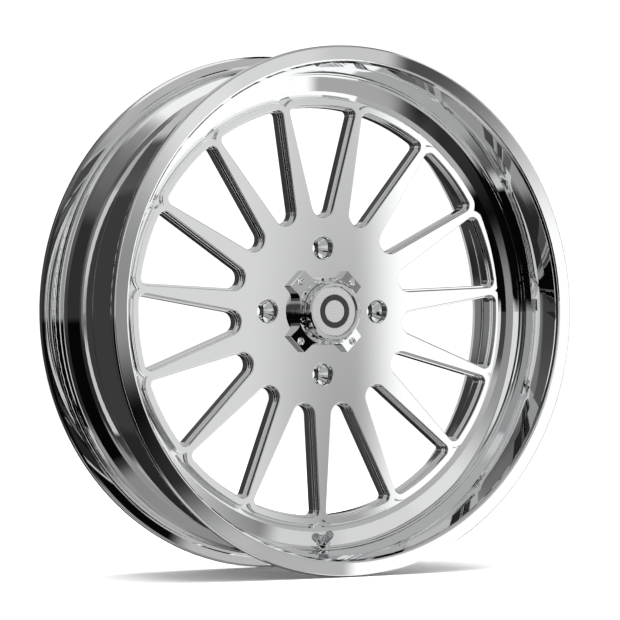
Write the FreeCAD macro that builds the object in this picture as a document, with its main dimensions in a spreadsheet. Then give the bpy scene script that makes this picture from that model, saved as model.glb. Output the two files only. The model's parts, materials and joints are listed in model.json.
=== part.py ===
import FreeCAD, Part
import math
import os
import Sketcher

# A polished forged wheel for a side-by-side off-road vehicle, 24 x 7 in, four studs on a 156 mm circle.
#
# Frame: the wheel's axis is Y and its styled face looks along -Y. +Z is up, with the valve at the bottom.
# The origin is the centre of the wheel, which is also the middle of the plane that meets the hub.
# A "station" is a distance along the axis, measured back from the outermost plane of the front lip.

Vector = FreeCAD.Vector
doc = FreeCAD.newDocument("forged_wheel")

# ---------------------------------------------------------------- driving dimensions, in millimetres

DIMENSIONS = {
    # rim
    "lip_radius": 322.5,
    "rim_width": 204.7,
    "flange_width": 13.6,
    "seat_radius": 304.8,
    "seat_taper": 1.6,
    "hump_height": 1.3,
    "barrel_radius": 302.4,
    "drop_radius": 292.0,
    "inside_radius": 297.5,
    "drop_inside_radius": 286.5,
    "lip_inner_radius": 301.0,
    "lip_crown_radius": 304.0,
    "lip_lean": 1.2,
    "dish_wall_radius": 293.0,
    "dish_wall_end": 58.0,
    "dish_flare_radius": 296.0,
    "dish_flare_station": 24.5,
    "band_radius": 288.5,
    "band_station": 68.6,
    "weld_radius": 271.0,
    "weld_ledge": 6.0,
    "rear_opening_radius": 309.0,
    # spoked centre
    "face_station": 69.5,
    "spoke_back": 92.5,
    "groove_station": 74.5,
    "plateau_radius": 245.0,
    "groove_outer_radius": 264.5,
    "weld_depth": 88.5,
    "fit_gap": 0.05,
    "boss_radius": 100.0,
    "register_radius": 66.0,
    "register_depth": 12.0,
    "centre_hole_radius": 34.0,
    # windows between the spokes
    "window_count": 15,
    "window_tip_radius": 15.5,
    "window_tip_centre": 131.0,
    "window_side_angle": 15.27,
    "window_end_radius": 254.0,
    "window_corner_radius": 8.5,
    "window_step_depth": 9.8,
    "window_step_width": 2.75,
    "window_frame_width": 8.0,
    # wheel bolts
    "bolt_circle": 156.0,
    "bolt_count": 4,
    "bolt_hole_radius": 7.05,
    "well_radius": 14.25,
    "well_depth": 11.0,
    "seat_half_angle": 30.0,
    # centre cap
    "neck_radius": 41.4,
    "neck_bore_radius": 36.3,
    "neck_height": 16.8,
    "ear_reach": 57.6,
    "ear_width": 27.6,
    "ear_height": 8.7,
    "ear_fillet": 11.0,
    "lid_seat_height": 12.5,
    "notch_count": 24,
    "notch_width": 5.4,
    "notch_depth": 3.6,
    "lid_radius": 36.0,
    "lid_height": 31.0,
    "lid_bore_radius": 31.0,
    "lid_recess_radius": 30.2,
    "lid_recess_depth": 4.0,
    "badge_thickness": 1.2,
    "screw_circle_radius": 51.8,
    "screw_radius": 2.45,
    "screw_length": 20.0,
    "screw_head_radius": 4.75,
    "screw_head_height": 2.75,
    "screw_socket": 3.0,
    # tyre valve
    "valve_seat_radius": 285.5,
    "valve_seat_station": 70.0,
    "valve_tilt": 35.0,
    "valve_wall": 12.0,
    "valve_hole_radius": 5.65,
    "valve_spotface_radius": 9.2,
    "valve_length": 21.5,
    "valve_thread_radius": 3.85,
    "valve_cap_radius": 5.2,
    "valve_cap_length": 14.0,
    "valve_nut_width": 14.0,
    "valve_nut_height": 5.0,
    "core_radius": 2.55,
    "core_pin_radius": 0.5,
}

sheet = doc.addObject("Spreadsheet::Sheet", "Dims")
for row, (alias, number) in enumerate(DIMENSIONS.items(), start=1):
    sheet.set(f"A{row}", alias)
    sheet.set(f"B{row}", str(number))
    sheet.setAlias(f"B{row}", alias)
doc.recompute()


class Size:
    """A number together with the spreadsheet expression that gives it."""

    def __init__(self, value, text):
        self.value = value
        self.text = text

    def join(self, other, sign, value):
        text = other.text if isinstance(other, Size) else str(other)
        return Size(value, f"({self.text} {sign} {text})")

    def __add__(self, other):
        return self.join(other, "+", self.value + number_of(other))

    def __sub__(self, other):
        return self.join(other, "-", self.value - number_of(other))

    def __mul__(self, other):
        return self.join(other, "*", self.value * number_of(other))

    def __truediv__(self, other):
        return self.join(other, "/", self.value / number_of(other))

    def __neg__(self):
        return Size(-self.value, f"(0 - {self.text})")


def number_of(size):
    return size.value if isinstance(size, Size) else float(size)


def text_of(size):
    return size.text if isinstance(size, Size) else str(float(size))


class Sheet:
    """The sheet's cells as Size attributes."""


dim = Sheet()
for alias, number in DIMENSIONS.items():
    setattr(dim, alias, Size(float(number), f"Dims.{alias}"))

half_width = dim.rim_width / 2


def at(station):
    """The Y coordinate of a station."""
    if not isinstance(station, Size):
        station = Size(float(station), str(float(station)))
    return station - half_width


# ---------------------------------------------------------------- helpers


def new_body(label):
    body = doc.addObject("PartDesign::Body", label)
    body.Label = label
    return body


def new_sketch(body, role, name, offset=None):
    """A sketch on one of the body's origin planes, moved along the plane's normal by offset."""
    sketch = body.newObject("Sketcher::SketchObject", name)
    plane = next(f for f in body.Origin.OriginFeatures if f.Role == role)
    sketch.AttachmentSupport = [(plane, "")]
    sketch.MapMode = "FlatFace"
    if offset is not None:
        sketch.AttachmentOffset = FreeCAD.Placement(Vector(0, 0, number_of(offset)), FreeCAD.Rotation())
        sketch.setExpression("AttachmentOffset.Base.z", text_of(offset))
    return sketch


def constrain(sketch, kind, *where):
    """A sketch constraint. A Size as the last argument is bound to the sheet."""
    bound = where[-1] if isinstance(where[-1], Size) else None
    plain = [number_of(w) if isinstance(w, Size) else w for w in where]
    index = sketch.addConstraint(Sketcher.Constraint(kind, *plain))
    if bound is not None:
        sketch.setExpression(f"Constraints[{index}]", bound.text)
    return index


def outline(sketch, points):
    """A closed polygon whose corners are each placed from the sketch's origin."""
    numbers = [Vector(number_of(x), number_of(y), 0) for x, y in points]
    for start, end in zip(numbers, numbers[1:] + numbers[:1]):
        sketch.addGeometry(Part.LineSegment(start, end), False)
    count = len(points)
    for index, (x, y) in enumerate(points):
        constrain(sketch, "Coincident", (index - 1) % count, 2, index, 1)
        constrain(sketch, "DistanceX", index, 1, x)
        constrain(sketch, "DistanceY", index, 1, y)


def circle(sketch, x, y, radius):
    middle = Vector(number_of(x), number_of(y), 0)
    index = sketch.addGeometry(Part.Circle(middle, Vector(0, 0, 1), number_of(radius)))
    constrain(sketch, "DistanceX", index, 3, x)
    constrain(sketch, "DistanceY", index, 3, y)
    constrain(sketch, "Radius", index, radius)


def turned(body, name, points, cut=False):
    """A solid of revolution about the body's Y axis, from corners given as (radius, y)."""
    sketch = new_sketch(body, "XY_Plane", name + "_profile")
    outline(sketch, points)
    kind = "PartDesign::Groove" if cut else "PartDesign::Revolution"
    feature = body.newObject(kind, name)
    feature.Profile = sketch
    feature.ReferenceAxis = (sketch, ["V_Axis"])
    feature.Angle = 360
    sketch.Visibility = False
    return feature


def extruded(body, name, sketch, length, cut=False, through=False, towards_back=True):
    """A pad or pocket from a sketch on the XZ plane, whose normal is -Y."""
    feature = body.newObject("PartDesign::Pocket" if cut else "PartDesign::Pad", name)
    feature.Profile = sketch
    if through:
        feature.Type = "ThroughAll"
    else:
        feature.Length = number_of(length)
        if isinstance(length, Size):
            feature.setExpression("Length", length.text)
    # a pad goes along the normal and a pocket against it, so each needs turning for one of the two ways
    feature.Reversed = towards_back != cut
    return feature


def patterned(body, name, features, count):
    pattern = body.newObject("PartDesign::PolarPattern", name)
    pattern.Originals = features
    axis = next(f for f in body.Origin.OriginFeatures if f.Role == "Y_Axis")
    pattern.Axis = (axis, [""])
    pattern.Angle = 360
    pattern.Occurrences = int(count.value)
    pattern.setExpression("Occurrences", count.text)
    body.Tip = pattern
    return pattern


def edges_where(shape, wanted):
    return [f"Edge{i}" for i, edge in enumerate(shape.Edges, start=1) if wanted(edge)]


def ring_test(radius, y, slack=0.02):
    """Whether an edge is a circle about the Y axis, of this radius at this place."""

    def wanted(edge):
        if not isinstance(edge.Curve, Part.Circle):
            return False
        centre = edge.Curve.Center
        on_axis = math.hypot(centre.x, centre.z) < slack
        same_place = abs(centre.y - number_of(y)) < slack
        return on_axis and same_place and abs(edge.Curve.Radius - number_of(radius)) < slack

    return wanted


def rounded(body, name, wanted, radius, chamfer=False):
    """Fillet or chamfer the tip's edges that pass a test."""
    doc.recompute()
    base = body.Tip
    names = edges_where(base.Shape, wanted)
    if not names:
        raise RuntimeError(f"{name}: no edge found")
    feature = body.newObject("PartDesign::Chamfer" if chamfer else "PartDesign::Fillet", name)
    feature.Base = (base, names)
    setting = "Size" if chamfer else "Radius"
    setattr(feature, setting, number_of(radius))
    if isinstance(radius, Size):
        feature.setExpression(setting, radius.text)
    return feature


# ---------------------------------------------------------------- rim barrel

rear = dim.rim_width
seat_end = dim.seat_radius - dim.seat_taper
hump = seat_end + dim.hump_height
flange_top = dim.lip_radius - 2.5
lip_start = at(3.8)
lip_edge = at(dim.lip_lean + 2.0)
front_seat = at(dim.flange_width)
rear_seat = at(rear - dim.flange_width)

barrel_profile = [
    # front of the web, and the steps up to the wall of the dish
    (dim.weld_radius, at(dim.band_station + 2.4)),
    (dim.band_radius, at(dim.band_station)),
    (dim.band_radius + 0.8, at(dim.band_station - 3.2)),
    (dim.band_radius + 2.2, at(dim.band_station - 3.9)),
    (dim.band_radius + 2.7, at(dim.band_station - 7.2)),
    (dim.dish_wall_radius - 0.4, at(dim.dish_wall_end + 2.6)),
    (dim.dish_wall_radius, at(dim.dish_wall_end)),
    # wall of the dish, nearly straight and then opening out towards the lip
    (dim.dish_flare_radius, at(dim.dish_flare_station)),
    # front lip, whose face leans back towards its outer edge
    (dim.lip_inner_radius, lip_start),
    (dim.lip_crown_radius, at(0)),
    (dim.lip_radius - 2.0, at(dim.lip_lean)),
    (dim.lip_radius, lip_edge),
    (dim.lip_radius, at(8.2)),
    (flange_top, at(dim.flange_width - 1.6)),
    (dim.seat_radius + 6.0, front_seat),
    # front bead seat, its hump and the shoulder
    (dim.seat_radius, front_seat),
    (seat_end, at(33)),
    (hump, at(36.5)),
    (hump, at(38.5)),
    (seat_end, at(42)),
    (seat_end, at(58)),
    (dim.barrel_radius, at(60)),
    (dim.barrel_radius, at(97)),
    # drop centre
    (dim.drop_radius, at(117)),
    (dim.drop_radius, at(149)),
    # rear hump, bead seat and flange
    (dim.barrel_radius, at(165)),
    (hump, at(rear - 34.5)),
    (hump, at(rear - 32.5)),
    (seat_end, at(rear - 29)),
    (dim.seat_radius, rear_seat),
    (dim.seat_radius + 6.0, rear_seat),
    (flange_top, at(rear - dim.flange_width + 1.6)),
    (dim.lip_radius, at(rear - 8.2)),
    (dim.lip_radius, at(rear - 2.4)),
    (dim.lip_radius - 3.0, at(rear)),
    (dim.rear_opening_radius, at(rear)),
    # inside of the barrel
    (dim.inside_radius + 4.0, at(rear - 8)),
    (dim.inside_radius, at(rear - 20)),
    (dim.inside_radius, at(rear - 38)),
    (dim.drop_inside_radius, at(150)),
    (dim.drop_inside_radius, at(104)),
    # back of the web and the ledge that locates the spoked centre
    (dim.drop_inside_radius - 6.0, at(dim.spoke_back)),
    (dim.weld_radius - dim.weld_ledge, at(dim.spoke_back)),
    (dim.weld_radius - dim.weld_ledge, at(dim.weld_depth)),
    (dim.weld_radius, at(dim.weld_depth)),
]
barrel = new_body("barrel_blank")
turned(barrel, "barrel_turning", barrel_profile)

BARREL_FILLETS = [
    # (name, fillet radius, corners)
    ("lip_rounding", 1.6, [(dim.lip_radius - 2.0, at(dim.lip_lean)), (dim.lip_radius, lip_edge)]),
    ("lip_inner_rounding", 2.4, [(dim.lip_inner_radius, lip_start), (dim.lip_crown_radius, at(0))]),
    ("dish_flare", 80.0, [(dim.dish_flare_radius, at(dim.dish_flare_station))]),
    ("flange_rounding", 3.0, [(dim.lip_radius, at(8.2)), (dim.lip_radius, at(rear - 8.2))]),
    ("rear_lip_rounding", 1.8, [(dim.lip_radius, at(rear - 2.4)), (dim.lip_radius - 3.0, at(rear))]),
    ("heel", 5.0, [(dim.seat_radius, front_seat), (dim.seat_radius, rear_seat)]),
    ("drop_rounding", 8.0, [(dim.drop_radius, at(117)), (dim.drop_radius, at(149))]),
    ("shoulder_rounding", 5.0, [(dim.barrel_radius, at(97))]),
    ("rear_mouth", 5.0, [(dim.rear_opening_radius, at(rear)), (dim.inside_radius + 4.0, at(rear - 8))]),
    ("inside_rounding", 12.0, [(dim.inside_radius, at(rear - 38)), (dim.drop_inside_radius, at(150))]),
    ("web_rounding", 5.0, [(dim.drop_inside_radius - 6.0, at(dim.spoke_back))]),
]
for fillet_name, fillet_radius, corners in BARREL_FILLETS:
    tests = [ring_test(r, y) for r, y in corners]
    rounded(barrel, fillet_name, lambda edge, tests=tests: any(t(edge) for t in tests), fillet_radius)

# The valve's own frame: its origin is the middle of the washer's seat, and -Y runs out along the stem.
tilt = DIMENSIONS["valve_tilt"]
valve_place = FreeCAD.Placement(
    Vector(0, number_of(at(dim.valve_seat_station)), -DIMENSIONS["valve_seat_radius"]),
    FreeCAD.Rotation(Vector(1, 0, 0), -tilt),
)
turn_to_y = FreeCAD.Rotation(Vector(1, 0, 0), -90)


def valve_tool(name, radius, start, length):
    """A cylinder along the valve's axis, from a point on it towards the tyre."""
    tool = doc.addObject("Part::Cylinder", name)
    tool.setExpression("Radius", radius.text)
    tool.Height = length
    tool.Placement = valve_place.multiply(FreeCAD.Placement(Vector(0, number_of(start), 0), turn_to_y))
    return tool


rim_barrel = doc.addObject("Part::Cut", "rim_barrel")
rim_barrel.Label = "rim_barrel"
valve_tools = doc.addObject("Part::MultiFuse", "valve_tools")
valve_tools.Shapes = [
    valve_tool("valve_hole", dim.valve_hole_radius, -20.0, 60.0),
    valve_tool("valve_front_spotface", dim.valve_spotface_radius, -30.0, 30.0),
    valve_tool("valve_rear_spotface", dim.valve_spotface_radius, dim.valve_wall, 30.0),
]
rim_barrel.Base = barrel
rim_barrel.Tool = valve_tools

# ---------------------------------------------------------------- spoked centre

weld_outer = dim.weld_radius - dim.fit_gap
ledge_inner = dim.weld_radius - dim.weld_ledge - dim.fit_gap

centre = new_body("spoked_centre")
turned(
    centre,
    "centre_turning",
    [
        (dim.centre_hole_radius, at(dim.face_station)),
        (dim.plateau_radius, at(dim.face_station)),
        (dim.plateau_radius, at(dim.groove_station)),
        (dim.groove_outer_radius, at(dim.groove_station)),
        (weld_outer, at(dim.band_station + 2.4)),
        (weld_outer, at(dim.weld_depth)),
        (ledge_inner, at(dim.weld_depth)),
        (ledge_inner, at(dim.spoke_back)),
        (dim.boss_radius + 6.0, at(dim.spoke_back)),
        (dim.boss_radius, at(half_width)),
        (dim.register_radius, at(half_width)),
        (dim.register_radius, at(half_width - dim.register_depth)),
        (dim.centre_hole_radius, at(half_width - dim.register_depth)),
    ],
)


def window_outline(sketch, grow):
    """One window, pointing up from the axis, with its outline moved outwards by grow."""
    side = math.radians(dim.window_side_angle.value)
    tip_centre = dim.window_tip_centre
    tip = dim.window_tip_radius + grow
    end = dim.window_end_radius + grow
    corner = dim.window_corner_radius + grow
    # the corner's centre lies on a line parallel to the side, at the corner's radius from it
    inset = tip.value - corner.value
    reach = end.value - corner.value
    start = Vector(inset * math.cos(side), tip_centre.value - inset * math.sin(side), 0)
    along = Vector(math.sin(side), math.cos(side), 0)
    forward = start.dot(along)
    run = -forward + math.sqrt(forward**2 - start.dot(start) + reach**2)
    centre_right = start + along * run
    out = Vector(math.cos(side), -math.sin(side), 0)
    tip_right = Vector(0, tip_centre.value, 0) + out * tip.value
    side_right = centre_right + out * corner.value
    radial = Vector(centre_right).normalize()
    end_right = radial * end.value
    mirrored = [Vector(-p.x, p.y, 0) for p in (tip_right, side_right, end_right, centre_right)]
    tip_left, side_left, end_left, centre_left = mirrored

    def arc(centre_point, radius, first, second):
        a = math.atan2(first.y - centre_point.y, first.x - centre_point.x)
        b = math.atan2(second.y - centre_point.y, second.x - centre_point.x)
        whole = Part.Circle(centre_point, Vector(0, 0, 1), radius)
        return sketch.addGeometry(Part.ArcOfCircle(whole, a, b), False)

    zero = Vector(0, 0, 0)
    right = sketch.addGeometry(Part.LineSegment(tip_right, side_right), False)
    corner_right = arc(centre_right, corner.value, side_right, end_right)
    end_arc = arc(zero, end.value, end_right, end_left)
    corner_left = arc(centre_left, corner.value, end_left, side_left)
    left = sketch.addGeometry(Part.LineSegment(side_left, tip_left), False)
    tip_arc = arc(Vector(0, tip_centre.value, 0), tip.value, tip_left, tip_right)
    # each arc runs anticlockwise from its end 1 to its end 2
    constrain(sketch, "Tangent", right, 2, corner_right, 1)
    constrain(sketch, "Tangent", corner_right, 2, end_arc, 1)
    constrain(sketch, "Tangent", end_arc, 2, corner_left, 1)
    constrain(sketch, "Tangent", corner_left, 2, left, 1)
    constrain(sketch, "Tangent", left, 2, tip_arc, 1)
    constrain(sketch, "Tangent", tip_arc, 2, right, 1)
    constrain(sketch, "Coincident", end_arc, 3, -1, 1)
    constrain(sketch, "PointOnObject", tip_arc, 3, -2)
    constrain(sketch, "DistanceY", tip_arc, 3, tip_centre)
    constrain(sketch, "Radius", tip_arc, tip)
    constrain(sketch, "Radius", end_arc, end)
    constrain(sketch, "Radius", corner_right, corner)
    constrain(sketch, "Equal", corner_right, corner_left)
    index = sketch.addConstraint(Sketcher.Constraint("Angle", -2, 1, right, 1, -side))
    sketch.setExpression(f"Constraints[{index}]", "-Dims.window_side_angle * 1 deg")
    constrain(sketch, "Equal", right, left)


def front_sketch(body, name, station):
    return new_sketch(body, "XZ_Plane", name, -at(station))


frame_sketch = front_sketch(centre, "frame_outline", dim.face_station)
window_outline(frame_sketch, dim.window_frame_width)
frame_height = dim.groove_station - dim.face_station + 0.5
window_frame = extruded(centre, "window_frame", frame_sketch, frame_height)

step_sketch = front_sketch(centre, "window_outline", dim.face_station)
window_outline(step_sketch, Size(0.0, "0"))
window_step = extruded(centre, "window_step", step_sketch, dim.window_step_depth, cut=True)

through_sketch = front_sketch(centre, "window_inner_outline", dim.face_station)
window_outline(through_sketch, -dim.window_step_width)
window_depth = dim.spoke_back - dim.face_station + 1.0
window_through = extruded(centre, "window_through", through_sketch, window_depth, cut=True)

patterned(centre, "windows", [window_frame, window_step, window_through], dim.window_count)

# a lug well: a round pocket, a conical seat for the nut and the stud's hole
bolt_axis = dim.bolt_circle / 2
seat_cone = math.radians(DIMENSIONS["seat_half_angle"])
seat_depth = (dim.well_radius - dim.bolt_hole_radius) / math.tan(seat_cone)
well_bottom = dim.face_station + dim.well_depth
well_sketch = new_sketch(centre, "XY_Plane", "lug_well_profile")
outline(
    well_sketch,
    [
        (bolt_axis, at(dim.face_station - 1)),
        (bolt_axis + dim.well_radius, at(dim.face_station - 1)),
        (bolt_axis + dim.well_radius, at(well_bottom)),
        (bolt_axis + dim.bolt_hole_radius, at(well_bottom + seat_depth)),
        (bolt_axis + dim.bolt_hole_radius, at(half_width + 1.0)),
        (bolt_axis, at(half_width + 1.0)),
    ],
)
well = centre.newObject("PartDesign::Groove", "lug_well")
well.Profile = well_sketch
well.ReferenceAxis = (well_sketch, ["Edge6"])
well.Angle = 360
patterned(centre, "lug_wells", [well], dim.bolt_count)

# threaded holes for the cap's screws, on the diagonals
screw_offset = dim.screw_circle_radius * math.cos(math.radians(45))
screw_hole_sketch = front_sketch(centre, "cap_screw_hole_circle", dim.face_station)
circle(screw_hole_sketch, screw_offset, screw_offset, dim.screw_radius + dim.fit_gap)
screw_hole = extruded(centre, "cap_screw_hole", screw_hole_sketch, Size(14.0, "14"), cut=True)
patterned(centre, "cap_screw_holes", [screw_hole], dim.bolt_count)


def in_plane(radius_low, radius_high, y):
    """Whether an edge lies wholly in the plane at y, between two radii."""

    def wanted(edge):
        box = edge.BoundBox
        flat = abs(box.YMin - number_of(y)) < 0.01 and abs(box.YMax - number_of(y)) < 0.01
        if not flat:
            return False
        reach = [math.hypot(v.X, v.Z) for v in edge.Vertexes]
        return min(reach) > radius_low and max(reach) < radius_high

    return wanted


def well_mouth(edge):
    if not isinstance(edge.Curve, Part.Circle):
        return False
    on_face = abs(edge.Curve.Center.y - number_of(at(dim.face_station))) < 0.01
    return on_face and abs(edge.Curve.Radius - dim.well_radius.value) < 0.01


tip_start = dim.window_tip_centre.value - dim.window_tip_radius.value - 3.0
window_end = dim.window_end_radius.value
step_station = dim.face_station + dim.window_step_depth
rounded(centre, "window_front_edges", in_plane(tip_start, window_end + 2.0, at(dim.face_station)), 1.0)
rounded(centre, "window_ledge_edges", in_plane(tip_start, window_end - 1.5, at(step_station)), 0.6)
rounded(centre, "window_back_edges", in_plane(tip_start, window_end - 1.5, at(dim.spoke_back)), 1.0)
rounded(centre, "groove_fillet", in_plane(244.0, window_end + 8.5, at(dim.groove_station)), 2.0)
rounded(centre, "well_mouths", well_mouth, 0.8)
rounded(centre, "boss_edge", ring_test(dim.boss_radius, at(half_width)), 2.0)

# ---------------------------------------------------------------- centre cap


def height(above_face):
    """The Y coordinate of a height above the wheel's machined face."""
    if not isinstance(above_face, Size):
        above_face = Size(float(above_face), str(float(above_face)))
    return at(dim.face_station - above_face)


cap = new_body("cap_body")
turned(
    cap,
    "cap_neck",
    [
        (dim.lid_bore_radius + 2.5, height(0)),
        (dim.neck_radius, height(0)),
        (dim.neck_radius, height(dim.neck_height - 0.8)),
        (dim.neck_radius - 0.8, height(dim.neck_height)),
        (dim.neck_bore_radius + 0.6, height(dim.neck_height)),
        (dim.neck_bore_radius, height(dim.neck_height - 0.6)),
        (dim.neck_bore_radius, height(dim.lid_seat_height)),
        (dim.lid_bore_radius, height(dim.lid_seat_height)),
        (dim.lid_bore_radius, height(4.0)),
        (dim.lid_bore_radius + 2.5, height(4.0)),
    ],
)
ear_sketch = front_sketch(cap, "ear_outline", dim.face_station)
ear_half = dim.ear_width / 2
ear_points = [
    (-ear_half, dim.neck_radius - 5.0),
    (ear_half, dim.neck_radius - 5.0),
    (ear_half, dim.ear_reach),
    (-ear_half, dim.ear_reach),
]
outline(ear_sketch, ear_points)
ear = extruded(cap, "ear", ear_sketch, dim.ear_height, towards_back=False)
ear_hole_sketch = front_sketch(cap, "ear_hole_circle", dim.face_station - dim.ear_height)
circle(ear_hole_sketch, Size(0.0, "0"), dim.screw_circle_radius, dim.screw_radius + 0.3)
ear_hole = extruded(cap, "ear_hole", ear_hole_sketch, dim.ear_height + 1.0, cut=True)
patterned(cap, "ears", [ear, ear_hole], dim.bolt_count)


def ear_root(edge):
    """Whether an edge is the corner where an ear's side leaves the round neck."""
    if not isinstance(edge.Curve, (Part.Line, Part.LineSegment)):
        return False
    box = edge.BoundBox
    upright = box.XLength < 0.01 and box.ZLength < 0.01 and box.YLength > 5
    return upright and abs(math.hypot(box.XMin, box.ZMin) - number_of(dim.neck_radius)) < 0.05


rounded(cap, "ear_roots", ear_root, dim.ear_fillet)

notch_sketch = front_sketch(cap, "notch_outline", dim.face_station - dim.neck_height)
notch_half = dim.notch_width / 2
notch_points = [
    (-notch_half, dim.neck_bore_radius + 1.2),
    (notch_half, dim.neck_bore_radius + 1.2),
    (notch_half, dim.neck_radius + 2.0),
    (-notch_half, dim.neck_radius + 2.0),
]
outline(notch_sketch, notch_points)
notch = extruded(cap, "notch", notch_sketch, dim.notch_depth, cut=True)
patterned(cap, "notches", [notch], dim.notch_count)


def ear_end(edge):
    """Whether an edge is the straight one where an ear's front meets its end."""
    if not isinstance(edge.Curve, (Part.Line, Part.LineSegment)):
        return False
    front = number_of(height(dim.ear_height))
    reach = [math.hypot(v.X, v.Z) for v in edge.Vertexes]
    return all(abs(v.Y - front) < 0.01 for v in edge.Vertexes) and min(reach) > 50


def ear_corner(edge):
    """Whether an edge is an outer corner of an ear, along the axis."""
    box = edge.BoundBox
    upright = box.XLength < 0.01 and box.ZLength < 0.01 and box.YLength > 5
    return upright and math.hypot(box.XMin, box.ZMin) > 55


rounded(cap, "ear_ends", ear_end, 0.6, chamfer=True)
rounded(cap, "ear_corners", ear_corner, 1.0)
turn_cap = FreeCAD.Rotation(Vector(0, 1, 0), 45)
cap.Placement = FreeCAD.Placement(Vector(0, 0, 0), turn_cap)

lid = new_body("cap_lid")
lid_inner = dim.lid_bore_radius - 3.5
recess_floor = dim.lid_height - dim.lid_recess_depth
turned(
    lid,
    "lid_turning",
    [
        (Size(0.0, "0"), height(recess_floor)),
        (dim.lid_recess_radius, height(recess_floor)),
        (dim.lid_recess_radius, height(dim.lid_height - 0.8)),
        (dim.lid_recess_radius + 0.8, height(dim.lid_height)),
        (dim.lid_radius - 1.6, height(dim.lid_height)),
        (dim.lid_radius, height(dim.lid_height - 1.6)),
        (dim.lid_radius, height(dim.lid_height - 11.4)),
        (dim.lid_radius - 0.5, height(dim.lid_height - 11.9)),
        (dim.lid_radius - 0.5, height(dim.lid_height - 12.9)),
        (dim.lid_radius, height(dim.lid_height - 13.4)),
        (dim.lid_radius, height(dim.lid_seat_height)),
        # the spigot inside the neck, with grooves for the O-ring and the snap ring
        (dim.lid_bore_radius - dim.fit_gap, height(dim.lid_seat_height)),
        (dim.lid_bore_radius - dim.fit_gap, height(10.2)),
        (dim.lid_bore_radius - 1.8, height(10.2)),
        (dim.lid_bore_radius - 1.8, height(7.6)),
        (dim.lid_bore_radius - dim.fit_gap, height(7.6)),
        (dim.lid_bore_radius - dim.fit_gap, height(3.95)),
        (dim.lid_bore_radius - 1.2, height(3.95)),
        (dim.lid_bore_radius - 1.2, height(2.35)),
        (dim.lid_bore_radius - dim.fit_gap, height(2.35)),
        (dim.lid_bore_radius - dim.fit_gap, height(0.6)),
        (lid_inner, height(0.6)),
        (lid_inner, height(recess_floor - 3.5)),
        (Size(0.0, "0"), height(recess_floor - 3.5)),
    ],
)

badge = new_body("cap_badge")
badge_radius = dim.lid_recess_radius - 0.3
badge_top = recess_floor + dim.badge_thickness
turned(
    badge,
    "badge_turning",
    [
        (Size(0.0, "0"), height(recess_floor)),
        (badge_radius, height(recess_floor)),
        (badge_radius, height(badge_top - 0.3)),
        (badge_radius - 0.3, height(badge_top)),
        (badge_radius * 0.70, height(badge_top)),
        (badge_radius * 0.69, height(badge_top - 0.35)),
        (badge_radius * 0.46, height(badge_top - 0.35)),
        (badge_radius * 0.45, height(badge_top)),
        (Size(0.0, "0"), height(badge_top)),
    ],
)

o_ring = doc.addObject("Part::Torus", "cap_o_ring")
o_ring.Label = "cap_o_ring"
o_ring.setExpression("Radius1", (dim.lid_bore_radius - 0.91).text)
o_ring.Radius2 = 0.88
o_ring.Placement = FreeCAD.Placement(Vector(0, number_of(height(8.9)), 0), turn_to_y)

snap_ring = new_body("cap_snap_ring")
snap_sketch = front_sketch(snap_ring, "snap_ring_outline", dim.face_station - 3.9)
circle(snap_sketch, Size(0.0, "0"), Size(0.0, "0"), dim.lid_bore_radius + 1.6)
circle(snap_sketch, Size(0.0, "0"), Size(0.0, "0"), dim.lid_bore_radius - 1.1)
extruded(snap_ring, "snap_ring_blank", snap_sketch, Size(1.5, "1.5"))
gap_sketch = front_sketch(snap_ring, "snap_ring_gap_outline", dim.face_station - 3.9)
outline(
    gap_sketch,
    [
        (Size(-4.0, "-4"), -(dim.lid_bore_radius + 5.0)),
        (Size(4.0, "4"), -(dim.lid_bore_radius + 5.0)),
        (Size(4.0, "4"), -(dim.lid_bore_radius - 5.0)),
        (Size(-4.0, "-4"), -(dim.lid_bore_radius - 5.0)),
    ],
)
extruded(snap_ring, "snap_ring_gap", gap_sketch, Size(3.0, "3"), cut=True)


def hexagon(sketch, across_flats):
    """A hexagon about the sketch's origin, with two corners on its vertical axis."""
    corner = across_flats / math.sqrt(3)
    points = []
    for step in range(6):
        turn = math.radians(90 + 60 * step)
        points.append((corner * math.cos(turn), corner * math.sin(turn)))
    outline(sketch, points)


def cap_screw(index):
    """A button-head screw, along its own Y axis, with its head's underside at the origin."""
    screw = new_body(f"cap_screw_{index}")
    crown = dim.screw_head_height
    turned(
        screw,
        f"screw_turning_{index}",
        [
            (Size(0.0, "0"), -crown),
            (dim.screw_head_radius * 0.56, -crown),
            (dim.screw_head_radius * 0.82, -(crown * 0.72)),
            (dim.screw_head_radius * 0.97, -(crown * 0.32)),
            (dim.screw_head_radius, Size(0.0, "0")),
            (dim.screw_radius, Size(0.0, "0")),
            (dim.screw_radius, dim.screw_length - 0.6),
            (dim.screw_radius - 0.6, dim.screw_length),
            (Size(0.0, "0"), dim.screw_length),
        ],
    )
    socket_sketch = new_sketch(screw, "XZ_Plane", f"socket_outline_{index}", crown)
    hexagon(socket_sketch, dim.screw_socket)
    extruded(screw, f"socket_{index}", socket_sketch, Size(1.7, "1.7"), cut=True)
    bearing = math.radians(45 + 90 * (index - 1))
    reach = dim.screw_circle_radius.value
    place = Vector(reach * math.cos(bearing), number_of(height(dim.ear_height)), reach * math.sin(bearing))
    screw.Placement = FreeCAD.Placement(place, FreeCAD.Rotation(Vector(0, 1, 0), 17.0 * index))
    return screw


cap_screws = [cap_screw(index) for index in range(1, 5)]

# ---------------------------------------------------------------- tyre valve, in the valve's own frame

ZERO = Size(0.0, "0")


def valve_body(label, points):
    body = new_body(label)
    turned(body, label + "_turning", points)
    body.Placement = valve_place
    return body


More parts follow.
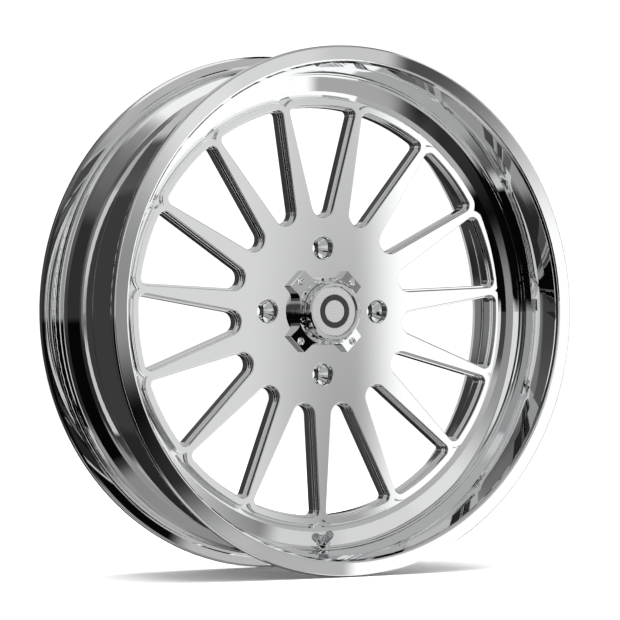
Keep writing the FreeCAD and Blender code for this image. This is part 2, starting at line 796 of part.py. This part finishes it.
tip = -dim.valve_length
stem = valve_body(
    "valve_stem",
    [
        (Size(1.4, "1.4"), dim.valve_wall + 5.6),
        (dim.valve_spotface_radius - 1.6, dim.valve_wall + 5.6),
        (dim.valve_spotface_radius - 1.0, dim.valve_wall + 5.0),
        (dim.valve_spotface_radius - 1.0, dim.valve_wall + 2.5),
        (dim.valve_hole_radius - 0.15, dim.valve_wall + 2.5),
        (dim.valve_hole_radius - 0.15, Size(-7.4, "-7.4")),
        (dim.valve_hole_radius - 0.75, Size(-8.0, "-8")),
        (dim.valve_thread_radius, Size(-8.0, "-8")),
        (dim.valve_thread_radius, tip + 0.5),
        (dim.valve_thread_radius - 0.5, tip),
        (dim.core_radius + dim.fit_gap, tip),
        (dim.core_radius + dim.fit_gap, tip + 16.5),
        (Size(1.4, "1.4"), tip + 17.7),
    ],
)
grommet = valve_body(
    "valve_grommet",
    [
        (dim.valve_hole_radius - 0.1, dim.valve_wall),
        (dim.valve_spotface_radius - 0.7, dim.valve_wall),
        (dim.valve_spotface_radius - 0.5, dim.valve_wall + 0.3),
        (dim.valve_spotface_radius - 0.5, dim.valve_wall + 2.2),
        (dim.valve_spotface_radius - 0.7, dim.valve_wall + 2.5),
        (dim.valve_hole_radius - 0.1, dim.valve_wall + 2.5),
    ],
)
washer = valve_body(
    "valve_washer",
    [
        (dim.valve_hole_radius, ZERO),
        (dim.valve_spotface_radius - 0.6, ZERO),
        (dim.valve_spotface_radius - 0.6, Size(-0.9, "-0.9")),
        (dim.valve_spotface_radius - 0.9, Size(-1.2, "-1.2")),
        (dim.valve_hole_radius, Size(-1.2, "-1.2")),
    ],
)

nut = new_body("valve_nut")
nut_front = dim.valve_nut_height + 1.2
nut_sketch = new_sketch(nut, "XZ_Plane", "nut_outline", Size(1.2, "1.2"))
hexagon(nut_sketch, dim.valve_nut_width)
circle(nut_sketch, ZERO, ZERO, dim.valve_hole_radius - 0.1)
extruded(nut, "nut_blank", nut_sketch, dim.valve_nut_height, towards_back=False)
nut_corner = dim.valve_nut_width / math.sqrt(3)
turned(
    nut,
    "nut_chamfer",
    [
        (nut_corner - 0.9, -nut_front),
        (nut_corner + 0.6, -nut_front),
        (nut_corner + 0.6, -(nut_front - 0.87)),
    ],
    cut=True,
)
nut.Placement = valve_place

core_front = tip + 1.0
core_body = valve_body(
    "valve_core_body",
    [
        (Size(1.15, "1.15"), core_front),
        (dim.core_radius - 0.25, core_front),
        (dim.core_radius, core_front + 0.25),
        (dim.core_radius, core_front + 5.0),
        (Size(1.9, "1.9"), core_front + 5.8),
        (Size(1.9, "1.9"), core_front + 11.6),
        (Size(0.75, "0.75"), core_front + 11.6),
        (Size(0.75, "0.75"), core_front + 10.8),
        (Size(1.45, "1.45"), core_front + 10.8),
        (Size(1.45, "1.45"), core_front + 4.6),
        (Size(1.15, "1.15"), core_front + 4.6),
    ],
)
# the pin runs through the core: a head to press, a collar on the spring, and the cup that closes the end
pin = valve_body(
    "valve_core_pin",
    [
        (ZERO, core_front - 0.1),
        (dim.core_pin_radius + 0.35, core_front - 0.1),
        (dim.core_pin_radius + 0.35, core_front + 0.5),
        (dim.core_pin_radius, core_front + 0.9),
        (dim.core_pin_radius, core_front + 4.9),
        (Size(1.3, "1.3"), core_front + 4.9),
        (Size(1.3, "1.3"), core_front + 5.5),
        (dim.core_pin_radius, core_front + 5.5),
        (dim.core_pin_radius, core_front + 12.5),
        (Size(1.6, "1.6"), core_front + 12.5),
        (Size(1.6, "1.6"), core_front + 13.4),
        (ZERO, core_front + 13.4),
    ],
)
pin_seal = valve_body(
    "valve_core_seal",
    [
        (dim.core_pin_radius, core_front + 11.65),
        (Size(1.6, "1.6"), core_front + 11.65),
        (Size(1.6, "1.6"), core_front + 12.5),
        (dim.core_pin_radius, core_front + 12.5),
    ],
)

cap_open = Size(-8.6, "-8.6")
cap_top = cap_open - dim.valve_cap_length
valve_cap = new_body("valve_cap")
turned(
    valve_cap,
    "valve_cap_turning",
    [
        (ZERO, cap_top),
        (dim.valve_cap_radius - 2.0, cap_top),
        (dim.valve_cap_radius - 0.5, cap_top + 0.7),
        (dim.valve_cap_radius, cap_top + 2.2),
        (dim.valve_cap_radius, cap_open - 2.2),
        (dim.valve_cap_radius - 0.4, cap_open - 1.9),
        (dim.valve_cap_radius - 0.4, cap_open - 1.4),
        (dim.valve_cap_radius, cap_open - 1.1),
        (dim.valve_cap_radius, cap_open - 0.3),
        (dim.valve_cap_radius - 0.3, cap_open),
        (dim.valve_thread_radius + 0.06, cap_open),
        (dim.valve_thread_radius + 0.06, tip - 0.62),
        (ZERO, tip - 0.62),
    ],
)
flute_sketch = new_sketch(valve_cap, "XZ_Plane", "flute_circle", -(cap_top + 1.0))
circle(flute_sketch, ZERO, dim.valve_cap_radius + 0.35, Size(0.75, "0.75"))
flute = extruded(valve_cap, "flute", flute_sketch, Size(8.0, "8"), cut=True)
flute_count = Size(16.0, "16")
patterned(valve_cap, "flutes", [flute], flute_count)
valve_cap.Placement = valve_place

cap_seal = valve_body(
    "valve_cap_seal",
    [
        (Size(1.3, "1.3"), tip),
        (dim.valve_thread_radius - 0.15, tip),
        (dim.valve_thread_radius - 0.15, tip - 0.6),
        (Size(1.3, "1.3"), tip - 0.6),
    ],
)

# the core's spring: a round wire between the collar and the core's inner end
spring_radius = 1.0
spring_wire = 0.14
spring_start = core_front + (5.5 + spring_wire + 0.02)
spring_length = 10.8 - 5.5 - 2 * spring_wire - 0.04
helix = doc.addObject("Part::Helix", "spring_helix")
helix.Pitch = spring_length / 7
helix.Height = spring_length
helix.Radius = spring_radius
wire_end = doc.addObject("Part::Circle", "spring_wire_section")
wire_end.Radius = spring_wire
wire_end.Placement = FreeCAD.Placement(Vector(spring_radius, 0, 0), FreeCAD.Rotation(Vector(1, 0, 0), 90))
spring = doc.addObject("Part::Sweep", "valve_core_spring")
spring.Label = "valve_core_spring"
spring.Sections = [wire_end]
doc.recompute()
spring.Spine = (helix, [f"Edge{i + 1}" for i in range(len(helix.Shape.Edges))])
spring.Solid = True
spring.Frenet = True
spring.Placement = valve_place.multiply(FreeCAD.Placement(Vector(0, spring_start.value, 0), turn_to_y))

# ---------------------------------------------------------------- check and write

PIECES = [
    rim_barrel,
    centre,
    cap,
    lid,
    badge,
    o_ring,
    snap_ring,
    *cap_screws,
    stem,
    grommet,
    washer,
    nut,
    core_body,
    pin,
    pin_seal,
    spring,
    valve_cap,
    cap_seal,
]


def check_document():
    doc.recompute()
    problems = []
    for item in doc.Objects:
        if "Invalid" in item.State or "Error" in item.State:
            problems.append(f"{item.Label}: {item.State}")
    for piece in PIECES:
        shape = piece.Shape
        if shape.isNull() or not shape.isValid() or shape.Volume <= 0 or len(shape.Solids) != 1:
            problems.append(f"{piece.Label}: shape is not one valid solid")
    if problems:
        raise RuntimeError("; ".join(problems))


def write_parts():
    os.makedirs("parts", exist_ok=True)
    for piece in PIECES:
        piece.Shape.exportStep(f"parts/{piece.Label}.step")
        print(f"{piece.Label}: {piece.Shape.Volume:.1f} mm3")


check_document()
write_parts()
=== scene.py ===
import json
import math

import bmesh
import bpy
from mathutils import Matrix, Vector


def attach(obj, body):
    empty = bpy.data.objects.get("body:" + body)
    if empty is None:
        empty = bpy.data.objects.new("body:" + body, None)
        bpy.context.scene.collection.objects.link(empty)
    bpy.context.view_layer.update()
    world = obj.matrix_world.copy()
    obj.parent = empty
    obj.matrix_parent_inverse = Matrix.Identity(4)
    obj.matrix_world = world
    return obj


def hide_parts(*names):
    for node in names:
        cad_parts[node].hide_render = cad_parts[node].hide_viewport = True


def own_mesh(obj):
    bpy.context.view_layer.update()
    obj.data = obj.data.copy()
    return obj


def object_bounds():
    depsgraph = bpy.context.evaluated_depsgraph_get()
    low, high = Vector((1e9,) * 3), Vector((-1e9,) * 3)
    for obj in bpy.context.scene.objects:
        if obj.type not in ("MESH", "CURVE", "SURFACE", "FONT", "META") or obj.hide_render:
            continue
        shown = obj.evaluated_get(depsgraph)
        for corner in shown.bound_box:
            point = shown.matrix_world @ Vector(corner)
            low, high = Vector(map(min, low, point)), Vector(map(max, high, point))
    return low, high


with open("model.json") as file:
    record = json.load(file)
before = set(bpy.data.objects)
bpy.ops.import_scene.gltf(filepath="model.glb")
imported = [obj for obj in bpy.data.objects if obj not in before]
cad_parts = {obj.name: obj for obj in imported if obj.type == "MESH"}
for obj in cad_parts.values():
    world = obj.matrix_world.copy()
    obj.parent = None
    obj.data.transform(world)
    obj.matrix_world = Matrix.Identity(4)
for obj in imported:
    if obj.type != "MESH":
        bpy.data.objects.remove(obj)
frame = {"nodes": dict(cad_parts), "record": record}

cad_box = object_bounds()

MM = 0.001
UM = 0.000001
nodes_by_name = frame["nodes"]

# ------------------------------------------------------------------ node helpers


class Graph:
    """A small helper for building shader node trees."""

    def __init__(self, tree):
        self.tree = tree
        tree.nodes.clear()

    def add(self, kind, inputs=None, **settings):
        node = self.tree.nodes.new(kind)
        for key, value in settings.items():
            setattr(node, key, value)
        for key, value in (inputs or {}).items():
            socket = node.inputs[key]
            if isinstance(value, bpy.types.NodeSocket):
                self.tree.links.new(value, socket)
            else:
                socket.default_value = value
        return node

    def maths(self, operation, a, b=None, c=None):
        node = self.tree.nodes.new("ShaderNodeMath")
        node.operation = operation
        for socket, value in zip(node.inputs, (a, b, c)):
            if value is None:
                continue
            if isinstance(value, bpy.types.NodeSocket):
                self.tree.links.new(value, socket)
            else:
                socket.default_value = value
        return node.outputs[0]

    def ramp(self, factor, stops):
        """Smooth greys along factor; stops are (place, grey)."""
        node = self.tree.nodes.new("ShaderNodeValToRGB")
        node.color_ramp.interpolation = "EASE"
        elements = node.color_ramp.elements
        while len(elements) > 1:
            elements.remove(elements[-1])
        for index, (place, grey) in enumerate(stops):
            element = elements.new(place) if index else elements[0]
            element.position = place
            element.color = (grey, grey, grey, 1.0)
        self.tree.links.new(factor, node.inputs[0])
        return node.outputs[0]

    def axis_radius(self, axes):
        """Distance from the wheel's axis, which runs along Y."""
        across = self.maths("POWER", axes.outputs["X"], 2.0)
        upright = self.maths("POWER", axes.outputs["Z"], 2.0)
        return self.maths("SQRT", self.maths("ADD", across, upright))

    def along_x(self, value):
        """A texture place that changes only with value, for lines."""
        return self.add("ShaderNodeCombineXYZ", {"X": value, "Y": 0.0, "Z": 0.0}).outputs[0]


def new_material(name):
    material = bpy.data.materials.new(name)
    material.use_nodes = True
    return material, Graph(material.node_tree)


def finish_material(graph, shader):
    output = graph.add("ShaderNodeOutputMaterial")
    graph.tree.links.new(shader.outputs[0], output.inputs["Surface"])


# ------------------------------------------------------------------ materials


TURNING_LINES_PER_METRE = 900.0
TURNING_LINE_DEPTH = 1.5 * UM
DUST_ROUGHNESS = 0.015
# a wall along the axis and a face across it both cut through the lines, because the share isn't 1
DEPTH_SHARE_OF_LINES = 0.83
LINE_SHARE_OF_ROUGHNESS = 0.4


def polished_metal(name, color, rough_low, rough_high):
    """Bright metal with turning lines round the wheel's axis, faint smears and fine dust marks."""
    material, g = new_material(name)
    place = g.add("ShaderNodeTexCoord").outputs["Object"]
    axes = g.add("ShaderNodeSeparateXYZ", {"Vector": place})
    depth = g.maths("MULTIPLY", axes.outputs["Y"], DEPTH_SHARE_OF_LINES)
    along = g.maths("MULTIPLY", g.maths("ADD", g.axis_radius(axes), depth), TURNING_LINES_PER_METRE)
    lines = g.add(
        "ShaderNodeTexNoise",
        {"Vector": g.along_x(along), "Scale": 1.0, "Detail": 3.0, "Roughness": 0.7},
    )
    smears = g.add("ShaderNodeTexNoise", {"Vector": place, "Scale": 9.0, "Detail": 4.0, "Roughness": 0.6})
    dust = g.add("ShaderNodeTexNoise", {"Vector": place, "Scale": 260.0, "Detail": 2.0, "Roughness": 0.8})
    from_smears = g.maths("MULTIPLY", smears.outputs["Fac"], 1.0 - LINE_SHARE_OF_ROUGHNESS)
    from_lines = g.maths("MULTIPLY", lines.outputs["Fac"], LINE_SHARE_OF_ROUGHNESS)
    mix = g.maths("ADD", from_smears, from_lines)
    rough = g.maths("MULTIPLY_ADD", mix, rough_high - rough_low, rough_low)
    speck = g.ramp(dust.outputs["Fac"], [(0.0, 0.0), (0.72, 0.0), (0.80, 1.0)])
    rough = g.maths("ADD", rough, g.maths("MULTIPLY", speck, DUST_ROUGHNESS))
    bump = g.add(
        "ShaderNodeBump",
        {"Height": lines.outputs["Fac"], "Strength": 0.2, "Distance": TURNING_LINE_DEPTH},
    )
    shader = g.add(
        "ShaderNodeBsdfPrincipled",
        {
            "Base Color": (*color, 1.0),
            "Metallic": 1.0,
            "Roughness": rough,
            "Normal": bump.outputs["Normal"],
        },
    )
    finish_material(g, shader)
    return material


RUBBER_GRAIN_DEPTH = 40 * UM


def rubber(name):
    """Matt black rubber with a moulded grain."""
    material, g = new_material(name)
    place = g.add("ShaderNodeTexCoord").outputs["Object"]
    grain = g.add(
        "ShaderNodeTexNoise",
        {"Vector": place, "Scale": 1400.0, "Detail": 4.0, "Roughness": 0.7},
    )
    shade = g.ramp(grain.outputs["Fac"], [(0.3, 0.012), (0.7, 0.03)])
    bump = g.add(
        "ShaderNodeBump",
        {"Height": grain.outputs["Fac"], "Strength": 0.4, "Distance": RUBBER_GRAIN_DEPTH},
    )
    shader = g.add(
        "ShaderNodeBsdfPrincipled",
        {"Base Color": shade, "Roughness": 0.72, "Normal": bump.outputs["Normal"]},
    )
    finish_material(g, shader)
    return material


BADGE_RING_INNER = 13.7 * MM
BADGE_RING_OUTER = 20.5 * MM
BADGE_LINES_PER_METRE = 6000.0
BADGE_LINE_DEPTH = 4 * UM
ENAMEL_BLACK = (0.012, 0.012, 0.013, 1.0)
METAL_ROUGHNESS = 0.26
ENAMEL_ROUGHNESS = 0.16


def brushed_badge(name):
    """A finely turned light disc with one plain black enamelled ring."""
    material, g = new_material(name)
    place = g.add("ShaderNodeTexCoord").outputs["Object"]
    radius = g.axis_radius(g.add("ShaderNodeSeparateXYZ", {"Vector": place}))
    inside = g.maths("LESS_THAN", radius, BADGE_RING_OUTER)
    ring = g.maths("MULTIPLY", inside, g.maths("GREATER_THAN", radius, BADGE_RING_INNER))
    along = g.maths("MULTIPLY", radius, BADGE_LINES_PER_METRE)
    lines = g.add("ShaderNodeTexNoise", {"Vector": g.along_x(along), "Scale": 1.0, "Detail": 2.0})
    light = g.ramp(lines.outputs["Fac"], [(0.3, 0.74), (0.7, 0.82)])
    colour = g.add("ShaderNodeMix", {0: ring, 7: ENAMEL_BLACK}, data_type="RGBA")
    g.tree.links.new(light, colour.inputs[6])
    bump = g.add(
        "ShaderNodeBump",
        {"Height": lines.outputs["Fac"], "Strength": 0.3, "Distance": BADGE_LINE_DEPTH},
    )
    rough = g.maths("MULTIPLY_ADD", ring, ENAMEL_ROUGHNESS - METAL_ROUGHNESS, METAL_ROUGHNESS)
    shader = g.add(
        "ShaderNodeBsdfPrincipled",
        {
            "Base Color": colour.outputs[2],
            "Metallic": g.maths("SUBTRACT", 1.0, ring),
            "Roughness": rough,
            "Normal": bump.outputs["Normal"],
        },
    )
    finish_material(g, shader)
    return material


MIRROR = (0.90, 0.905, 0.91)
materials = {
    "polished_barrel": polished_metal("polished_barrel", MIRROR, 0.0, 0.02),
    "polished_centre": polished_metal("polished_centre", MIRROR, 0.0, 0.03),
    "cap_plating": polished_metal("cap_plating", (0.86, 0.865, 0.87), 0.0, 0.03),
    "cap_lid_plating": polished_metal("cap_lid_plating", (0.88, 0.885, 0.89), 0.01, 0.04),
    "badge_metal": brushed_badge("badge_metal"),
    "seal_rubber": rubber("seal_rubber"),
    "spring_steel": polished_metal("spring_steel", (0.5, 0.5, 0.51), 0.2, 0.35),
    "screw_steel": polished_metal("screw_steel", (0.9, 0.9, 0.91), 0.02, 0.05),
    "valve_plating": polished_metal("valve_plating", (0.82, 0.83, 0.84), 0.01, 0.05),
    "core_brass": polished_metal("core_brass", (0.80, 0.62, 0.30), 0.2, 0.3),
    "valve_cap_metal": polished_metal("valve_cap_metal", (0.52, 0.53, 0.54), 0.0, 0.03),
}

slot_of = {entry["node"]: entry["material_slot"] for entry in frame["record"]["subparts"]}
for name, piece in nodes_by_name.items():
    piece.data.materials.clear()
    piece.data.materials.append(materials[slot_of[name]])

# ------------------------------------------------------------------ pieces that replace a CAD node


def copy_of(node, name):
    """A new object in a CAD node's place, with its own copy of the node's mesh."""
    source = nodes_by_name[node]
    mesh = source.data.copy()
    mesh.name = name
    copy = bpy.data.objects.new(name, mesh)
    copy.matrix_world = source.matrix_world.copy()
    bpy.context.scene.collection.objects.link(copy)
    return copy


# an ear's outline, as distances from the wheel's axis along the ear and from the ear's middle line
EAR_LEAN_DEGREES = 12.0
EAR_START_RADIUS = 30 * MM
EAR_SCREW_RADIUS = 51.8 * MM
EAR_TIP_RADIUS = 56.5 * MM
EAR_HALF_WIDTH = 20.2 * MM
EAR_FRONT_DEPTH = 0.9 * MM
CAP_NECK_RADIUS = 41.35 * MM
SAME_POINT = 0.002 * MM
SHARP_EDGE_DEGREES = 28


def leaning_ears():
    """The cap's body again, with each ear's front leaning outwards about its own screw."""
    ears = copy_of("cap_body", "cap_body_forged")
    mesh = ears.data
    work = bmesh.new()
    work.from_mesh(mesh)
    bmesh.ops.remove_doubles(work, verts=work.verts, dist=SAME_POINT)
    front = min(v.co.y for v in work.verts if math.hypot(v.co.x, v.co.z) > EAR_TIP_RADIUS)
    lean = math.tan(math.radians(EAR_LEAN_DEGREES))
    for quarter in range(4):
        bearing = math.radians(45 + 90 * quarter)
        outwards = Vector((math.cos(bearing), 0.0, math.sin(bearing)))
        across = Vector((-math.sin(bearing), 0.0, math.cos(bearing)))
        for vertex in work.verts:
            reach = vertex.co.dot(outwards)
            on_ear = reach > EAR_START_RADIUS and abs(vertex.co.dot(across)) < EAR_HALF_WIDTH
            beyond_neck = math.hypot(vertex.co.x, vertex.co.z) > CAP_NECK_RADIUS
            # known fault: points of the neck's wall in front of the ears pass this too
            if on_ear and beyond_neck and vertex.co.y < front + EAR_FRONT_DEPTH:
                vertex.co.y += (reach - EAR_SCREW_RADIUS) * lean
    work.to_mesh(mesh)
    work.free()
    # the CAD's own shading normals belong to the flat ears
    if mesh.attributes.get("custom_normal"):
        mesh.attributes.remove(mesh.attributes["custom_normal"])
    mesh.shade_smooth()
    mesh.set_sharp_from_angle(angle=math.radians(SHARP_EDGE_DEGREES))
    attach(ears, "wheel")
    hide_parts("cap_body")


def shortening_spring():
    """The valve core's spring again, as a copy with its own mesh in the CAD node's place."""
    coil = copy_of("valve_core_spring", "core_spring_coil")
    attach(coil, "wheel")
    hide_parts("valve_core_spring")
    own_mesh(coil)


leaning_ears()
shortening_spring()

# ------------------------------------------------------------------ studio

# what the metal mirrors by height, as (degrees above the horizon, display grey 0 to 255)
STUDIO_HEIGHTS = [
    (-90, 150),
    (-62, 140),
    (-46, 100),
    (-30, 40),
    (-10, 42),
    (0, 66),
    (35, 88),
    (52, 112),
    (72, 152),
    (90, 172),
]

# Lit panels and black flags in front of that, each hiding the ones before it:
# (from, to) in degrees round, (from, to) in degrees up, softness of the two edges, display grey.
# 0 degrees round is straight in front of the wheel's face, and +90 is to the right.
# They were set by comparing brightness with the photo, so they suit its one viewing angle.
STUDIO_PANELS = [
    ((120, 240), (58, 90), (30, 12), 250),
    ((-149, -128), (-6, 34), (4, 8), 120),
    ((-166, -151), (-30, 40), (3, 6), 60),
    ((172, 190), (-4, 44), (8, 6), 78),
    ((172, 240), (-70, -38), (10, 8), 152),
    ((-62, 62), (14, 62), (8, 7), 182),
    ((-62, -44), (-3, 44), (3, 3), 160),
    ((-108, -62), (-60, 34), (5, 8), 48),
    ((-108, -44), (-55, -3), (4, 3), 6),
    ((-46, 20.5), (-30, -0.5), (3, 2), 8),
    ((-20, 60), (-52, -30), (8, 6), 178),
    ((-60, 60), (-90, -52), (14, 9), 195),
    ((44, 125), (-90, -52), (12, 8), 85),
    ((-19, 8), (-1, 15), (2, 2), 236),
    ((6, 20), (-2.5, 14), (3, 4), 146),
    ((20, 27), (4, 19), (5, 5), 232),
    ((21, 34), (-34, -9), (3, 3), 190),
    ((26, 34), (-9, 16), (1.5, 4), 206),
    ((26, 34), (-10, 0.5), (1.5, 7), 168),
    ((25, 29.8), (-7, 19), (1.8, 2), 222),
    ((62, 120), (6, 46), (8, 6), 246),
    ((31.35, 112), (-48, 7), (1.0, 9), 268),
    ((24, 32.5), (-8.6, -6.4), (2, 1), 10),
    ((112, 152), (-50, 58), (3, 6), 12),
    ((128, 141), (-40, 50), (3, 6), 190),
    ((154, 178), (-10, 60), (5, 6), 190),
    ((-45.5, -30.5), (-44, 46), (2, 4), 212),
]


def display_to_light(grey):
    """The light that shows as this grey, 0 to 255, on a standard display."""
    level = grey / 255.0
    return ((level + 0.055) / 1.055) ** 2.4 if level > 0.04045 else level / 12.92


def panel_share(g, distance, half_size, softness):
    """1 inside half_size of the panel's middle, falling to 0 over the softness."""
    share = g.add(
        "ShaderNodeMapRange",
        {
            "Value": g.maths("ABSOLUTE", distance),
            "From Min": half_size + softness / 2.0,
            "From Max": half_size - softness / 2.0,
            "To Min": 0.0,
            "To Max": 1.0,
        },
        clamp=True,
        interpolation_type="SMOOTHSTEP",
    )
    return share.outputs[0]


def degrees_round(g, sideways, ahead, bearing):
    """How far a direction is turned from the bearing, about the upright axis."""
    cosine, sine = math.cos(bearing), math.sin(bearing)
    across = g.maths("MULTIPLY_ADD", sideways, cosine, g.maths("MULTIPLY", ahead, -sine))
    along = g.maths("MULTIPLY_ADD", sideways, sine, g.maths("MULTIPLY", ahead, cosine))
    return g.maths("MULTIPLY", g.maths("ARCTAN2", across, along), math.degrees(1.0))


BACKDROP_STRENGTH = 1.2


def studio_world():
    """White round the wheel, and for all that the metal mirrors, a studio of panels and flags."""
    world = bpy.data.worlds.new("studio")
    bpy.context.scene.world = world
    world.use_nodes = True
    g = Graph(world.node_tree)
    direction = g.add("ShaderNodeTexCoord").outputs["Generated"]
    axes = g.add("ShaderNodeSeparateXYZ", {"Vector": direction})
    sideways = axes.outputs["X"]
    ahead = g.maths("MULTIPLY", axes.outputs["Y"], -1.0)
    up = g.maths("MULTIPLY", g.maths("ARCSINE", axes.outputs["Z"]), math.degrees(1.0))
    height = g.maths("MULTIPLY_ADD", up, 1.0 / 180.0, 0.5)
    stops = [(degrees / 180.0 + 0.5, display_to_light(grey)) for degrees, grey in STUDIO_HEIGHTS]
    level = g.ramp(height, stops)
    for (left, right), (low, high), (soft_round, soft_up), grey in STUDIO_PANELS:
        turn = degrees_round(g, sideways, ahead, math.radians((left + right) / 2.0))
        share_round = panel_share(g, turn, (right - left) / 2.0, soft_round)
        rise = g.maths("SUBTRACT", up, (low + high) / 2.0)
        share_up = panel_share(g, rise, (high - low) / 2.0, soft_up)
        light = display_to_light(grey)
        mixed = g.add(
            "ShaderNodeMix",
            {0: g.maths("MULTIPLY", share_round, share_up), 7: (light, light, light, 1.0)},
            data_type="RGBA",
        )
        g.tree.links.new(level, mixed.inputs[6])
        level = mixed.outputs[2]
    studio = g.add("ShaderNodeBackground", {"Color": level, "Strength": 1.0})
    white = g.add("ShaderNodeBackground", {"Color": (1.0, 1.0, 1.0, 1.0), "Strength": BACKDROP_STRENGTH})
    mirrored = g.add("ShaderNodeLightPath").outputs["Is Glossy Ray"]
    mixed = g.add("ShaderNodeMixShader", {0: mirrored, 1: white.outputs[0], 2: studio.outputs[0]})
    output = g.add("ShaderNodeOutputWorld")
    g.tree.links.new(mixed.outputs[0], output.inputs["Surface"])


FLOOR_REACH = 14.0


def studio_floor():
    """A pale floor at the wheel's lowest point, which the metal doesn't mirror."""
    height = cad_box[0][2]
    corners = [
        (-FLOOR_REACH, -FLOOR_REACH, height),
        (FLOOR_REACH, -FLOOR_REACH, height),
        (FLOOR_REACH, FLOOR_REACH, height),
        (-FLOOR_REACH, FLOOR_REACH, height),
    ]
    mesh = bpy.data.meshes.new("floor")
    mesh.from_pydata(corners, [], [(0, 1, 2, 3)])
    floor = bpy.data.objects.new("floor", mesh)
    bpy.context.scene.collection.objects.link(floor)
    material, g = new_material("pale_floor")
    place = g.add("ShaderNodeTexCoord").outputs["Object"]
    mottle = g.add("ShaderNodeTexNoise", {"Vector": place, "Scale": 3.0, "Detail": 3.0})
    shade = g.ramp(mottle.outputs["Fac"], [(0.3, 0.93), (0.7, 0.95)])
    shader = g.add(
        "ShaderNodeBsdfPrincipled",
        {"Base Color": shade, "Roughness": 0.6, "Specular IOR Level": 0.1},
    )
    finish_material(g, shader)
    mesh.materials.append(material)
    floor.visible_glossy = False


OVERHEAD_PLACE = Vector((0.0, -0.3, 2.6))
OVERHEAD_SIZE = 3.0
OVERHEAD_WATTS = 160.0


def overhead_light():
    """One large softbox above the wheel, aimed at its middle, for the contact shadow."""
    data = bpy.data.lights.new("overhead", "AREA")
    data.shape = "SQUARE"
    data.size = OVERHEAD_SIZE
    data.energy = OVERHEAD_WATTS
    light = bpy.data.objects.new("overhead", data)
    light.location = OVERHEAD_PLACE
    light.rotation_mode = "QUATERNION"
    light.rotation_quaternion = (-OVERHEAD_PLACE).to_track_quat("-Z", "Y")
    light.visible_glossy = False
    bpy.context.scene.collection.objects.link(light)


CAMERA_AZIMUTH_DEGREES = 30.12
CAMERA_ELEVATION_DEGREES = -0.23
CAMERA_DISTANCE = 3.934
CAMERA_LENS_MM = 188.4774
CAMERA_SENSOR_MM = 36.0
# where the middle of the front lip lies from the middle of the view, at the lip's distance
LIP_RIGHT_OF_VIEW = 50.914 * MM
LIP_ABOVE_VIEW = -1.4543 * MM


def camera():
    """Aimed past the middle of the front lip, so the wheel sits in the view as it does in the photo."""
    azimuth = math.radians(CAMERA_AZIMUTH_DEGREES)
    elevation = math.radians(CAMERA_ELEVATION_DEGREES)
    level = math.cos(elevation)
    back = Vector((-math.sin(azimuth) * level, -math.cos(azimuth) * level, math.sin(elevation)))
    ahead = -back
    right = ahead.cross(Vector((0, 0, 1))).normalized()
    up = right.cross(ahead)
    half_wheel_width = cad_box[1][1]
    lip_centre = Vector((0, -half_wheel_width, 0))
    data = bpy.data.cameras.new("camera")
    data.sensor_width = CAMERA_SENSOR_MM
    data.lens = CAMERA_LENS_MM
    data.clip_start = 0.1
    data.clip_end = 60.0
    seen_from = bpy.data.objects.new("camera", data)
    aside = right * LIP_RIGHT_OF_VIEW + up * LIP_ABOVE_VIEW
    seen_from.location = lip_centre - aside - ahead * CAMERA_DISTANCE
    seen_from.rotation_mode = "QUATERNION"
    seen_from.rotation_quaternion = Matrix((right, up, back)).transposed().to_quaternion()
    bpy.context.scene.collection.objects.link(seen_from)
    bpy.context.scene.camera = seen_from


studio_world()
studio_floor()
overhead_light()
camera()
bpy.context.scene.view_settings.view_transform = "Standard"
